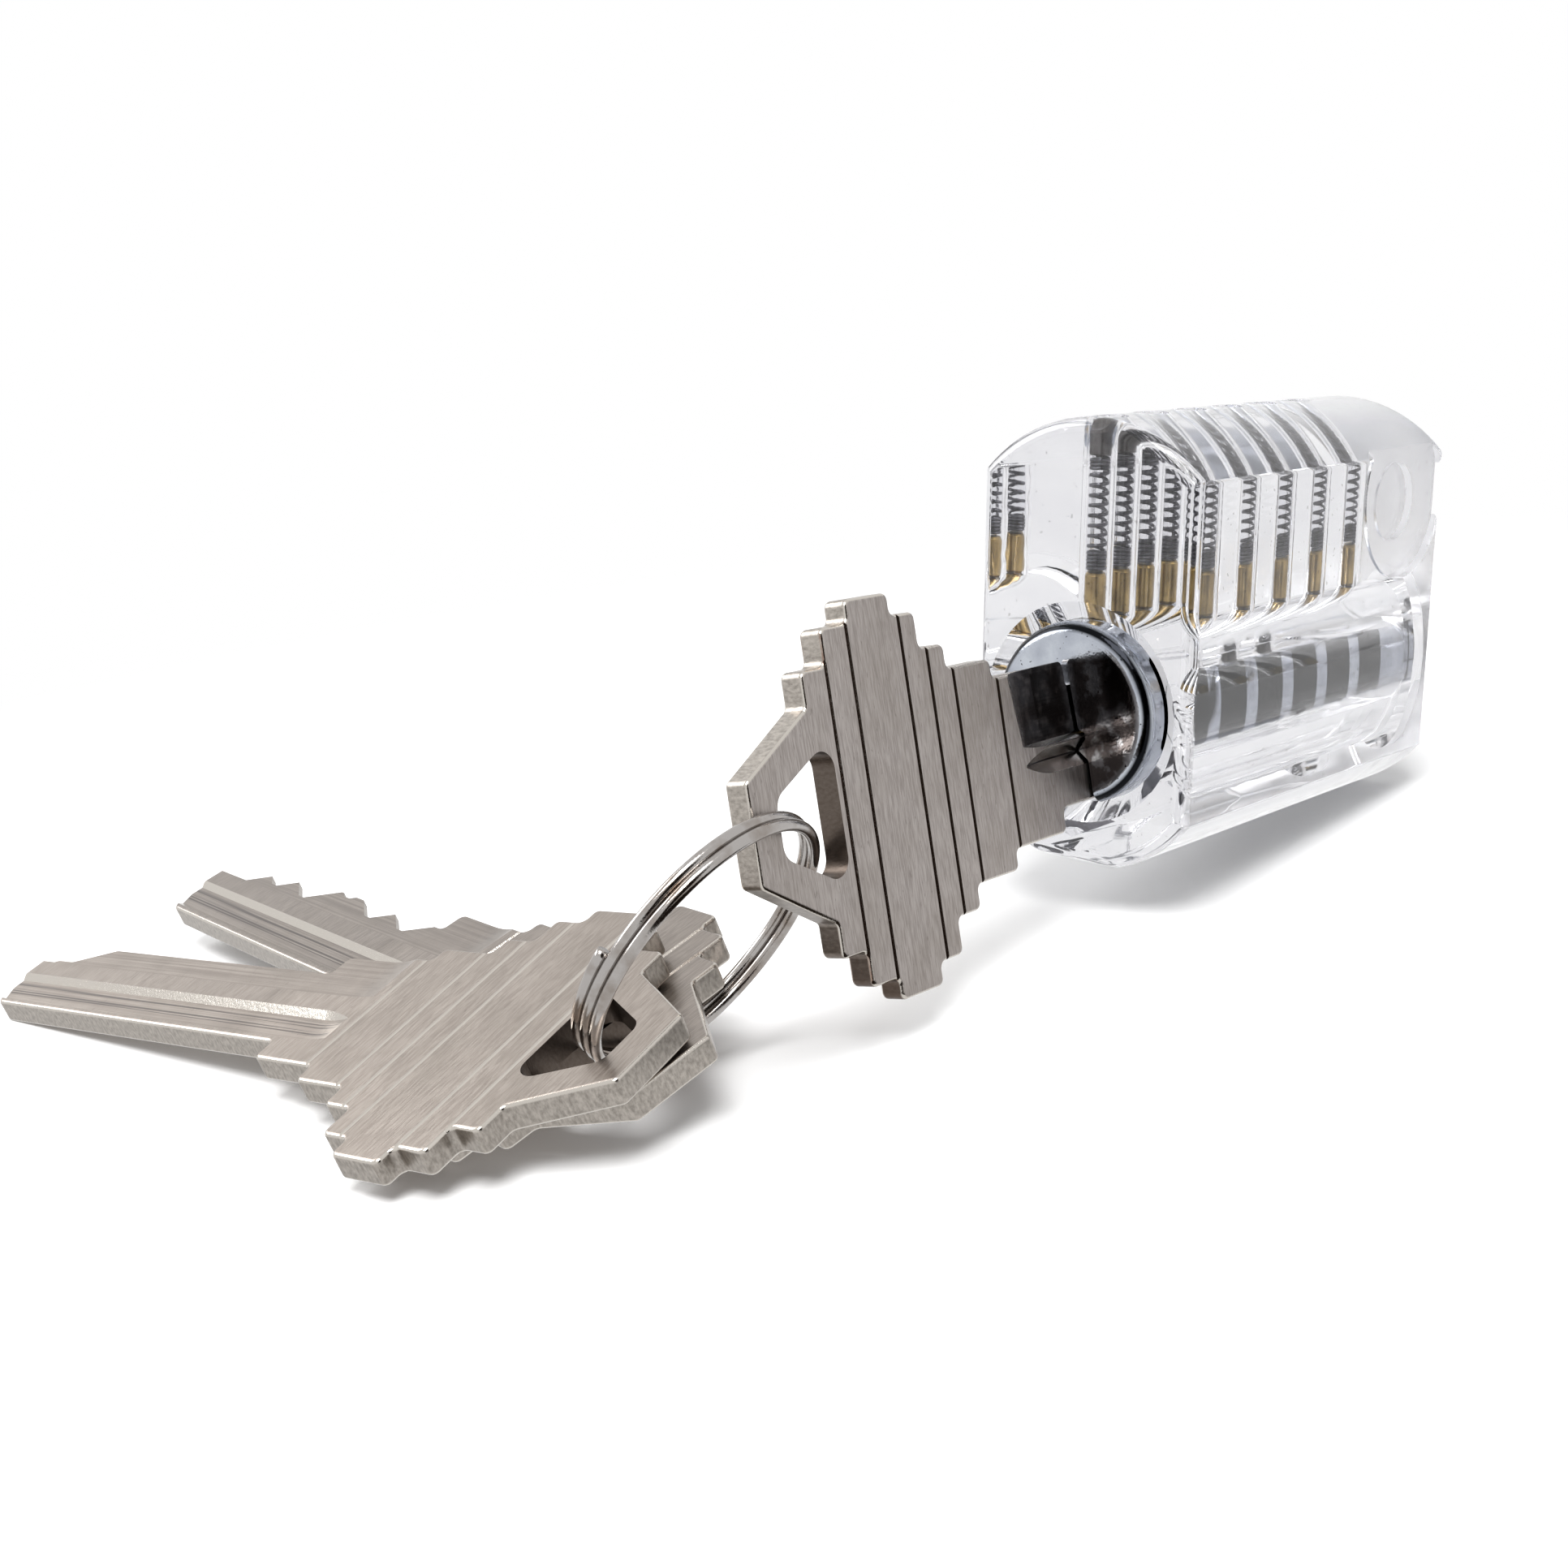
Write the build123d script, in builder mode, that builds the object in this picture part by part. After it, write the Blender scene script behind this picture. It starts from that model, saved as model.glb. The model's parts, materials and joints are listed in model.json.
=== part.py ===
from build123d import *
import math
import os

# A clear acrylic pin tumbler practice lock with a key in it, and two more keys
# on a split ring. Millimetres. +Y runs into the lock along the plug, +Z is up,
# and the origin is the middle of the flat land under the block.

# Block
BLOCK_WIDTH = 16.4
BLOCK_LENGTH = 34.0
SIDE_LOW = 3.67          # lower edge of the flat sides above the base
SIDE_HIGH = 25.37        # upper edge of the flat sides above the base
TOP_RISE = 3.65          # crown of the arched top above the sides
LAND_WIDTH = 6.0         # flat strip along the arched underside
UNDER_RADIUS = 11.0      # arch between that strip and the sides
LAND_ROUND = 2.0         # where the strip runs into the arch
SIDE_ROUND = 0.4         # where the arches meet the sides
FRONT_ROUND = 0.9
REAR_ROUND = 0.4
AXIS_HEIGHT = 10.07      # plug axis above the base
RECESS_RADIUS = 6.0      # shallow round recess high on the right side, at the rear
RECESS_DEPTH = 0.6
RECESS_FROM_FRONT = 28.3
RECESS_ABOVE_AXIS = 12.6
DIMPLE_RADIUS = 2.8
DIMPLE_DEPTH = 0.5
DIMPLE_OFFSET = 0.5      # dimple's centre, forward of and below the recess's

# Plug
PLUG_RADIUS = 6.0
PLUG_CLEARANCE = 0.05
PLUG_PROUD = 1.0         # plug face in front of the block
PLUG_ROUND = 0.95
MOUTH_CHAMFER = 1.2      # widened mouth of the bore
PLUG_SHORT = 0.4         # plug's tail inside the block's rear face
TAIL_CHAMFER = 0.3
TURN_AT_REST = 12.0      # degrees the plug and key are turned from upright
WINDOW_LENGTH = 3.3      # openings in the plug's right side, one at each chamber
WINDOW_HEIGHT = 6.0
WINDOW_ROUND = 0.5

# Clip round the plug's tail
CLIP_THICKNESS = 0.5
CLIP_PROUD = 0.7         # beyond the plug's surface
CLIP_GAP = 60.0          # degrees left open
CLIP_CLEARANCE = 0.05
GROOVE_DEPTH = 0.6
SEAT_DEPTH = 1.6         # counterbore behind the block that the clip turns in
SEAT_CLEARANCE = 0.3

# Pin chambers
CHAMBER_COUNT = 6
CHAMBER_PITCH = 4.76
FIRST_CHAMBER = 2.47     # behind the front face
PIN_RADIUS = 1.15
PIN_CLEARANCE = 0.05
CHAMBER_FLOOR = -1.0     # how deep the plug's chambers reach, from its axis
PIN_POINT = 0.45         # radius of a key pin's flat point
PIN_TOP_GAP = 0.02       # key pin top inside the shear line
DRIVER_LENGTH = 2.95
DRIVER_CHAMFER = 0.2
CAP_LENGTH = 1.5
CAP_CHAMFER = 0.1
CAP_ABOVE_AXIS = 16.5    # underside of the caps that close the chambers
CAP_CLEARANCE = 0.02
SPRING_RADIUS = 1.1      # outside
SPRING_WIRE = 0.28
SPRING_TURNS = 8
SPRING_LEAD = 70.0       # degrees of turn in which the wire's straight end leans over
SPRING_LEAD_RISE = 0.45
SEAT_GAP = 0.02          # between a spring's end and what it presses on

# Keys, measured from the block's front face and from the plug axis
KEY_THICKNESS = 1.7
KEY_CLEARANCE = 0.15     # between key and keyway
BLADE_TOP = 1.8
BLADE_BOTTOM = -5.6
BLADE_TIP = 28.5
TIP_SLOPE_START = 22.8
NOSE_START = 26.2        # foot of the tip's slope, where the rounded nose begins
NOSE_HEIGHT = 0.05
NOSE_FOOT = -3.6         # lower end of the nose's upright front
TIP_UNDERCUT = 1.2
TIP_ROUND = 0.8
SHOULDER = -4.1
NECK_BOTTOM = -7.15
NECK_TOP = 3.55
NECK_FRONT = -1.3        # upper shoulder, just clear of the plug's face
NECK_END = -9.6
BOW_MIDDLE = -1.85       # height of the bow's centre line
STEP_LENGTHS = (4.3, 2.3, 2.2, 3.9, 2.4, 2.1)
STEP_HEIGHTS = (6.6, 8.1, 10.3, 11.65, 10.3, 8.15)
HEAD_LENGTH = 5.6
HEAD_ROOT = 6.1          # half height where the head begins
HEAD_END = 2.9           # half height at its end
HOLE_NEAR = 1.6          # hole's inner side, this far inside the last step
HOLE_LENGTH = 5.1
HOLE_WIDE = 4.3          # half heights of the hole at its two ends
HOLE_NARROW = 1.65
HOLE_ROUND = 1.1
CORNER_ROUND = 0.45      # corners of the bow's steps
RIM_ROUND = 0.25         # edges of the blank, rolled by tumbling
SCORE_DEPTH = 0.14       # fine lines scored across the bow beside its steps
SCORES = (-9.2, -13.4, -15.6, -17.8, -22.5, -24.7)
MILL_RADIUS = 8.0        # cutter that leaves the curved run-outs
MILL_SWEEP = 30.0        # degrees of the cutter that bite at the run-out
MILL_RUN_OUT = -8.3      # where the flats and the band fade out on the neck
MILL_SLOPE = 0.3         # slanted wall beside a milled flat
LEFT_FLAT_DEPTH = 0.55   # flat milled along the upper left side of the blade
LEFT_FLAT_LOW = -0.5
RIGHT_FLAT_DEPTH = 0.45  # flat on the right side, at its lower edge
RIGHT_FLAT_LEAN = 0.15   # how much deeper it is at the blade's top
RIGHT_FLAT_LOW = -1.1
BAND_DEPTH = 0.4         # channel along the lower left side, with slanted walls
BAND_TOP = -2.7
BAND_LOW = -4.7
BAND_SLOPE = 0.45
POCKET_DEPTH = 0.65      # V-shaped channel along the right side
POCKET_TOP = -1.5
POCKET_LOW = -3.2
POCKET_FLOOR = 0.1
POCKET_RUN_OUT = -7.5
CUT_FLAT = 0.8           # flat floor of a key cut
CUT_SLOPE = 0.55         # rise of its flanks for each millimetre along the blade
CUT_HEIGHTS = (0.5, 0.55, 1.5, 0.1, 0.2, -0.65)
SPARE = 1.0              # how far a cutter's sketch reaches beyond the metal

# Split ring and the two loose keys, where they lie
RING_RADIUS = 8.33
RING_WIRE = 0.72
RING_OVERLAP = 0.04
RING_CENTRE = (-1.3, -33.79, -7.83)
RING_AXIS = (0.867, 0.105, -0.487)
UNCUT_AT = (-31.84, -38.83, -16.62)
UNCUT_BLADE = (-0.9883, -0.0419, -0.1465)
UNCUT_SIDE = (0.1217, 0.361, -0.9246)
LOOSE_GAP = 0.3          # between the two loose keys
CUT_SHIFT = (-1.06, 8.37)  # cut key under the uncut one: along its blade, and across
CUT_SPREAD = 13.47       # degrees it is fanned out

FRONT = -BLOCK_LENGTH / 2
BORE_RADIUS = PLUG_RADIUS + PLUG_CLEARANCE
CHAMBER_RADIUS = PIN_RADIUS + PIN_CLEARANCE
CHAMBERS = [FIRST_CHAMBER + CHAMBER_PITCH * k for k in range(CHAMBER_COUNT)]
CROWN = SIDE_HIGH + TOP_RISE
CLIP_RADIUS = PLUG_RADIUS + CLIP_PROUD
SEAT_RADIUS = CLIP_RADIUS + SEAT_CLEARANCE
DRIVER_BOTTOM = AXIS_HEIGHT + BORE_RADIUS
DRIVER_TOP = DRIVER_BOTTOM + DRIVER_LENGTH
CAP_BOTTOM = AXIS_HEIGHT + CAP_ABOVE_AXIS
HALF_KEY = KEY_THICKNESS / 2

os.makedirs("parts", exist_ok=True)


def save(piece, name):
    """Labels a finished piece and writes its file."""
    piece.part.label = name
    export_step(piece.part, f"parts/{name}.step")


def key_frame(origin, blade, side):
    """Axes of a key: X through its thickness, Y along the blade, Z up the blade."""
    blade = Vector(*blade).normalized()
    side = Vector(*side)
    side = (side - blade * side.dot(blade)).normalized()
    return Plane(origin=origin, x_dir=side, z_dir=side.cross(blade))


def face_plane(frame, x=0.0):
    """Plane across a frame's X, with the blade along X and up along Y."""
    spot = frame.from_local_coords(Vector(x, 0, 0))
    return Plane(origin=spot, x_dir=frame.y_dir, z_dir=frame.x_dir)


def section_plane(frame, y=0.0):
    """Plane across a frame's Y, seen from the front: thickness along X, up along Y."""
    spot = frame.from_local_coords(Vector(0, y, 0))
    return Plane(origin=spot, x_dir=frame.x_dir, z_dir=-frame.y_dir)


def top_plane(frame, height=0.0):
    """Plane across a frame's Z: thickness along X, into the lock along Y."""
    spot = frame.from_local_coords(Vector(0, 0, height))
    return Plane(origin=spot, x_dir=frame.x_dir, z_dir=frame.z_dir)


TURN = math.radians(TURN_AT_REST)
UPRIGHT = Plane(origin=(0, FRONT, AXIS_HEIGHT), x_dir=(1, 0, 0), z_dir=(0, 0, 1))
TURNED = Plane(
    origin=(0, FRONT, AXIS_HEIGHT),
    x_dir=(math.cos(TURN), 0, math.sin(TURN)),
    z_dir=(-math.sin(TURN), 0, math.cos(TURN)),
)
LOOSE_ORIGIN = Vector(0, FRONT, AXIS_HEIGHT)
UNCUT_FRAME = key_frame(LOOSE_ORIGIN + Vector(*UNCUT_AT), UNCUT_BLADE, UNCUT_SIDE)
CUT_ORIGIN = UNCUT_FRAME.from_local_coords(Vector(KEY_THICKNESS + LOOSE_GAP, *CUT_SHIFT))
CUT_BLADE = UNCUT_FRAME.y_dir.rotate(Axis((0, 0, 0), UNCUT_FRAME.x_dir), CUT_SPREAD)
CUT_FRAME = key_frame(CUT_ORIGIN, CUT_BLADE, UNCUT_FRAME.x_dir)


# Block of clear acrylic, arched above and below, bored for the plug and the pins
HALF_BLOCK = BLOCK_WIDTH / 2
with BuildPart() as body:
    with BuildSketch(Plane.XZ.offset(-FRONT)) as outline:
        with BuildLine():
            Line((-LAND_WIDTH / 2, 0), (LAND_WIDTH / 2, 0))
            RadiusArc((LAND_WIDTH / 2, 0), (HALF_BLOCK, SIDE_LOW), -UNDER_RADIUS)
            Line((HALF_BLOCK, SIDE_LOW), (HALF_BLOCK, SIDE_HIGH))
            ThreePointArc((HALF_BLOCK, SIDE_HIGH), (0, CROWN), (-HALF_BLOCK, SIDE_HIGH))
            Line((-HALF_BLOCK, SIDE_HIGH), (-HALF_BLOCK, SIDE_LOW))
            RadiusArc((-HALF_BLOCK, SIDE_LOW), (-LAND_WIDTH / 2, 0), -UNDER_RADIUS)
        make_face()
        fillet(outline.vertices().group_by(Axis.Y)[0], LAND_ROUND)
        fillet(outline.vertices().group_by(Axis.X)[0], SIDE_ROUND)
        fillet(outline.vertices().group_by(Axis.X)[-1], SIDE_ROUND)
    extrude(amount=-BLOCK_LENGTH)
    fillet(body.faces().sort_by(Axis.Y)[0].edges(), FRONT_ROUND)
    fillet(body.faces().sort_by(Axis.Y)[-1].edges(), REAR_ROUND)
    with BuildSketch(section_plane(UPRIGHT)):
        Circle(BORE_RADIUS)
    extrude(amount=-BLOCK_LENGTH, mode=Mode.SUBTRACT)
    with BuildSketch(section_plane(UPRIGHT)):
        Circle(BORE_RADIUS + MOUTH_CHAMFER)
    extrude(amount=-MOUTH_CHAMFER, taper=45, mode=Mode.SUBTRACT)
    with BuildSketch(section_plane(UPRIGHT, BLOCK_LENGTH - SEAT_DEPTH)):
        Circle(SEAT_RADIUS)
    extrude(amount=-SEAT_DEPTH, mode=Mode.SUBTRACT)
    with BuildSketch(top_plane(UPRIGHT)):
        with Locations(*[(0, y) for y in CHAMBERS]):
            Circle(CHAMBER_RADIUS)
    extrude(amount=CROWN, mode=Mode.SUBTRACT)
    with BuildSketch(face_plane(UPRIGHT, HALF_BLOCK - RECESS_DEPTH)):
        with Locations((RECESS_FROM_FRONT, RECESS_ABOVE_AXIS)):
            Circle(RECESS_RADIUS)
    extrude(amount=2 * RECESS_DEPTH, mode=Mode.SUBTRACT)
    with BuildSketch(face_plane(UPRIGHT, HALF_BLOCK - RECESS_DEPTH - DIMPLE_DEPTH)):
        with Locations((RECESS_FROM_FRONT - DIMPLE_OFFSET, RECESS_ABOVE_AXIS - DIMPLE_OFFSET)):
            Circle(DIMPLE_RADIUS)
    extrude(amount=2 * DIMPLE_DEPTH, mode=Mode.SUBTRACT)
save(body, "body")


def blade_section(grow=0.0):
    """Cross-section of the blade, its grooves included, grown on every side."""
    face = HALF_KEY + grow
    right_foot = face - RIGHT_FLAT_DEPTH
    left_flat = face - LEFT_FLAT_DEPTH
    band = face - BAND_DEPTH
    return [
        (right_foot - RIGHT_FLAT_LEAN, BLADE_TOP + grow),
        (right_foot, RIGHT_FLAT_LOW + grow),
        (face, RIGHT_FLAT_LOW - MILL_SLOPE + grow),
        (face, POCKET_TOP - grow),
        (face - POCKET_DEPTH, (POCKET_TOP + POCKET_LOW) / 2),
        (face, POCKET_LOW + grow),
        (face, BLADE_BOTTOM - grow),
        (-face, BLADE_BOTTOM - grow),
        (-face, BAND_LOW - BAND_SLOPE + grow),
        (-band, BAND_LOW + grow),
        (-band, BAND_TOP - grow),
        (-face, BAND_TOP + BAND_SLOPE - grow),
        (-face, LEFT_FLAT_LOW - MILL_SLOPE + grow),
        (-left_flat, LEFT_FLAT_LOW + grow),
        (-left_flat, BLADE_TOP + grow),
    ]


# Plug of plated brass, turned a little from upright by the key
PLUG_END = BLOCK_LENGTH - PLUG_SHORT
GROOVE_AT = PLUG_END - 2 * CLIP_THICKNESS
GROOVE_RADIUS = PLUG_RADIUS - GROOVE_DEPTH
with BuildPart() as plug:
    with BuildSketch(section_plane(TURNED, -PLUG_PROUD)):
        Circle(PLUG_RADIUS)
    extrude(amount=-(PLUG_PROUD + PLUG_END))
    fillet(plug.edges().sort_by(Axis.Y)[0], PLUG_ROUND)
    chamfer(plug.edges().sort_by(Axis.Y)[-1], TAIL_CHAMFER)
    with BuildSketch(section_plane(TURNED, GROOVE_AT)):
        Circle(PLUG_RADIUS)
        Circle(GROOVE_RADIUS, mode=Mode.SUBTRACT)
    extrude(amount=-(CLIP_THICKNESS + CLIP_CLEARANCE), mode=Mode.SUBTRACT)
    with BuildSketch(section_plane(TURNED, -PLUG_PROUD)):
        with BuildLine():
            Polyline(*blade_section(KEY_CLEARANCE), close=True)
        make_face()
        with Locations((0, BLADE_BOTTOM)):
            Rectangle(KEY_THICKNESS + 2 * KEY_CLEARANCE, PLUG_RADIUS, align=(Align.CENTER, Align.MAX))
    extrude(amount=-(PLUG_PROUD + PLUG_END), mode=Mode.SUBTRACT)
    with BuildSketch(top_plane(TURNED, CHAMBER_FLOOR)):
        with Locations(*[(0, y) for y in CHAMBERS]):
            Circle(CHAMBER_RADIUS)
    extrude(amount=2 * PLUG_RADIUS, mode=Mode.SUBTRACT)
    with BuildSketch(face_plane(TURNED, HALF_KEY)):
        with Locations(*[(y, 0) for y in CHAMBERS]):
            RectangleRounded(WINDOW_LENGTH, WINDOW_HEIGHT, WINDOW_ROUND)
    extrude(amount=PLUG_RADIUS, mode=Mode.SUBTRACT)
save(plug, "plug")

# Spring steel clip in the groove round the plug's tail
with BuildPart() as retaining_clip:
    with BuildSketch(section_plane(TURNED, GROOVE_AT + CLIP_CLEARANCE / 2)):
        Circle(CLIP_RADIUS)
        Circle(GROOVE_RADIUS + CLIP_CLEARANCE, mode=Mode.SUBTRACT)
        with BuildLine():
            reach = 2 * CLIP_RADIUS
            spread = math.tan(math.radians(CLIP_GAP / 2)) * reach
            Polyline((0, 0), (spread, reach), (-spread, reach), close=True)
        make_face(mode=Mode.SUBTRACT)
    extrude(amount=-CLIP_THICKNESS)
save(retaining_clip, "retaining_clip")


def cut_edge(heights):
    """Outline of what is cut off the top of a blank, from the throat to the tip."""
    half_flat = CUT_FLAT / 2
    above = BLADE_TOP + SPARE
    start = CHAMBERS[0] - half_flat - (BLADE_TOP - heights[0]) / CUT_SLOPE
    points = [(start, above), (start, BLADE_TOP)]
    for k, (y, height) in enumerate(zip(CHAMBERS, heights)):
        if k > 0:
            gap = y - CHAMBERS[k - 1] - CUT_FLAT
            climb = (gap * CUT_SLOPE + height - heights[k - 1]) / 2
            peak = CHAMBERS[k - 1] + half_flat + climb / CUT_SLOPE
            points.append((peak, heights[k - 1] + climb))
        points.append((y - half_flat, height))
        points.append((y + half_flat, height))
    return points + [(BLADE_TIP + SPARE, heights[-1]), (BLADE_TIP + SPARE, above)]


def step_edge(side):
    """Stepped edge of the bow, from the neck out to the end of the head."""
    points = []
    y = NECK_END
    for length, height in zip(STEP_LENGTHS, STEP_HEIGHTS):
        points.append((y, BOW_MIDDLE + side * height))
        y -= length
        points.append((y, BOW_MIDDLE + side * height))
    points.append((y, BOW_MIDDLE + side * HEAD_ROOT))
    points.append((y - HEAD_LENGTH, BOW_MIDDLE + side * HEAD_END))
    return points


def mill(frame, side, top, low, rises, run_out):
    """Channel along the blade with the curved run-out that a disc cutter leaves.

    Top and low are the depth and height of its floor's edges, and the rises are
    how far each slanted wall climbs from there to the key's face.
    """
    out = HALF_KEY + SPARE
    outline = []
    for (depth, height), rise in ((top, rises[0]), (low, -rises[1])):
        floor = HALF_KEY - depth
        wall = height + rise * (out - floor) / depth
        outline.append([(side * out, wall), (side * floor, height)])
    deepest = max(top[0], low[0])
    reach = math.sqrt(MILL_RADIUS ** 2 - (MILL_RADIUS - deepest) ** 2)
    start = run_out + reach
    with BuildSketch(section_plane(frame, start)) as channel:
        with BuildLine():
            Polyline(*outline[0], *reversed(outline[1]), close=True)
        make_face()
    extrude(channel.sketch, amount=-(BLADE_TIP + SPARE - start), mode=Mode.SUBTRACT)
    hub = frame.from_local_coords(Vector(side * (HALF_KEY - deepest + MILL_RADIUS), start, 0))
    turn = Axis(hub, frame.z_dir)
    revolve(channel.sketch, axis=turn, revolution_arc=side * MILL_SWEEP, mode=Mode.SUBTRACT)


def make_key(frame, name, heights=None):
    """A key in its frame: stepped bow with a hole, neck and grooved blade."""
    with BuildPart() as key:
        with BuildSketch(face_plane(frame)) as side_view:
            with BuildLine():
                tip = [
                    (TIP_SLOPE_START, BLADE_TOP), (NOSE_START, NOSE_HEIGHT), (BLADE_TIP, NOSE_HEIGHT),
                    (BLADE_TIP, NOSE_FOOT), (BLADE_TIP - TIP_UNDERCUT, BLADE_BOTTOM),
                ]
                neck = [(SHOULDER, BLADE_BOTTOM), (SHOULDER, NECK_BOTTOM), (NECK_END, NECK_BOTTOM)]
                back = [*step_edge(-1), *reversed(step_edge(1))]
                upper = [(NECK_END, NECK_TOP), (NECK_FRONT, NECK_TOP), (NECK_FRONT, BLADE_TOP)]
                Polyline(*tip, *neck, *back, *upper, close=True)
            make_face()
            fillet(side_view.vertices().filter_by(lambda corner: corner.X < 0), CORNER_ROUND)
            fillet(side_view.vertices().filter_by(lambda corner: corner.X > 0), TIP_ROUND)
        extrude(amount=HALF_KEY, both=True)
        rim = key.edges().filter_by(lambda e: abs(frame.to_local_coords(e.center()).X) > HALF_KEY * 0.99)
        fillet(rim, RIM_ROUND)
        with BuildSketch(face_plane(frame)) as hole:
            with BuildLine():
                near = NECK_END - sum(STEP_LENGTHS) + HOLE_NEAR
                far = near - HOLE_LENGTH
                Polyline(
                    (near, BOW_MIDDLE + HOLE_WIDE), (near, BOW_MIDDLE - HOLE_WIDE),
                    (far, BOW_MIDDLE - HOLE_NARROW), (far, BOW_MIDDLE + HOLE_NARROW), close=True,
                )
            make_face()
            fillet(hole.vertices(), HOLE_ROUND)
        extrude(amount=HALF_KEY, both=True, mode=Mode.SUBTRACT)
        if heights:
            with BuildSketch(face_plane(frame)):
                with BuildLine():
                    Polyline(*cut_edge(heights), close=True)
                make_face()
            extrude(amount=HALF_KEY, both=True, mode=Mode.SUBTRACT)
        above = NECK_TOP + SPARE
        lean = RIGHT_FLAT_LEAN * (above - RIGHT_FLAT_LOW) / (BLADE_TOP - RIGHT_FLAT_LOW)
        right_top, right_low = (RIGHT_FLAT_DEPTH + lean, above), (RIGHT_FLAT_DEPTH, RIGHT_FLAT_LOW)
        mill(frame, 1, right_top, right_low, (0, MILL_SLOPE), MILL_RUN_OUT)
        left_top, left_low = (LEFT_FLAT_DEPTH, above), (LEFT_FLAT_DEPTH, LEFT_FLAT_LOW)
        mill(frame, -1, left_top, left_low, (0, MILL_SLOPE), MILL_RUN_OUT)
        band_top, band_low = (BAND_DEPTH, BAND_TOP), (BAND_DEPTH, BAND_LOW)
        mill(frame, -1, band_top, band_low, (BAND_SLOPE, BAND_SLOPE), MILL_RUN_OUT)
        middle = (POCKET_TOP + POCKET_LOW) / 2
        pocket_top = (POCKET_DEPTH, middle + POCKET_FLOOR / 2)
        pocket_low = (POCKET_DEPTH, middle - POCKET_FLOOR / 2)
        rise = (POCKET_TOP - POCKET_LOW - POCKET_FLOOR) / 2
        mill(frame, 1, pocket_top, pocket_low, (rise, rise), POCKET_RUN_OUT)
        for side in (-1, 1):
            spot = frame.from_local_coords(Vector(side * HALF_KEY, 0, -2 * STEP_HEIGHTS[0]))
            with BuildSketch(Plane(origin=spot, x_dir=frame.x_dir, z_dir=frame.z_dir)):
                depth = side * SCORE_DEPTH
                for y in SCORES:
                    with BuildLine():
                        high, low = (depth, y + 2 * SCORE_DEPTH), (depth, y - 2 * SCORE_DEPTH)
                        Polyline((-depth, y), high, low, close=True)
                    make_face()
            extrude(amount=4 * STEP_HEIGHTS[0], mode=Mode.SUBTRACT)
    save(key, name)


make_key(TURNED, "inserted_key", CUT_HEIGHTS)
make_key(UNCUT_FRAME, "uncut_key")
make_key(CUT_FRAME, "cut_key", CUT_HEIGHTS)

# Pin stacks, one in each chamber: key pin, driver pin, spring and cap
SHEAR_FLAT = math.sqrt(PLUG_RADIUS ** 2 - PIN_RADIUS ** 2) - PIN_TOP_GAP
for number, (y, height) in enumerate(zip(CHAMBERS, CUT_HEIGHTS), start=1):
    point = height + PIN_CLEARANCE
    with BuildPart() as key_pin:
        with BuildSketch(section_plane(TURNED, y)):
            with BuildLine():
                shoulder = point + PIN_RADIUS - PIN_POINT
                Polyline(
                    (0, point), (PIN_POINT, point), (PIN_RADIUS, shoulder),
                    (PIN_RADIUS, SHEAR_FLAT), (0, SHEAR_FLAT), close=True,
                )
            make_face()
        hub = TURNED.from_local_coords(Vector(0, y, 0))
        revolve(axis=Axis(hub, TURNED.z_dir))
    save(key_pin, f"key_pin_{number}")

    with BuildPart() as driver_pin:
        with BuildSketch(top_plane(UPRIGHT, BORE_RADIUS)):
            with Locations((0, y)):
                Circle(PIN_RADIUS)
        extrude(amount=DRIVER_LENGTH)
        chamfer(driver_pin.edges().filter_by(GeomType.CIRCLE), DRIVER_CHAMFER)
    save(driver_pin, f"driver_pin_{number}")

    with BuildPart() as chamber_cap:
        with BuildSketch(top_plane(UPRIGHT, CAP_ABOVE_AXIS)):
            with Locations((0, y)):
                Circle(CHAMBER_RADIUS - CAP_CLEARANCE)
        extrude(amount=CAP_LENGTH)
        chamfer(chamber_cap.edges().filter_by(GeomType.CIRCLE), CAP_CHAMFER)
    save(chamber_cap, f"chamber_cap_{number}")


def helix_point(turn):
    """Place of the coil's centre line on the spring's axis frame after some degrees."""
    angle = math.radians(turn)
    rise = (turn - SPRING_LEAD) / (360 * SPRING_TURNS) * COIL_RISE
    return Vector(COIL_RADIUS * math.cos(angle), COIL_RADIUS * math.sin(angle), COIL_START + rise)


def helix_direction(turn):
    """Direction of the coil's centre line there."""
    angle = math.radians(turn)
    climb = COIL_RISE / (2 * math.pi * SPRING_TURNS)
    return Vector(-COIL_RADIUS * math.sin(angle), COIL_RADIUS * math.cos(angle), climb).normalized()


def biarc(start, start_way, end, end_way):
    """Two arcs that leave the first point and reach the second along given ways."""
    chord = end - start
    lean = chord.dot(start_way + end_way)
    open_share = 2 * (1 - start_way.dot(end_way))
    reach = (-lean + math.sqrt(lean ** 2 + open_share * chord.dot(chord))) / open_share
    leave, arrive = start + start_way * reach, end - end_way * reach
    joint = (leave + arrive) / 2
    TangentArc(start, joint, tangent=start_way)
    TangentArc(joint, end, tangent=arrive - leave)


SPRING_BOTTOM = DRIVER_TOP + SEAT_GAP
SPRING_LENGTH = CAP_BOTTOM - SEAT_GAP - SPRING_BOTTOM
COIL_RADIUS = SPRING_RADIUS - SPRING_WIRE / 2
COIL_START = SPRING_WIRE + SPRING_LEAD_RISE
COIL_RISE = SPRING_LENGTH - 2 * COIL_START
UP = Vector(0, 0, 1)
FIRST_TURN, LAST_TURN = SPRING_LEAD, SPRING_LEAD + 360 * SPRING_TURNS

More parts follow.
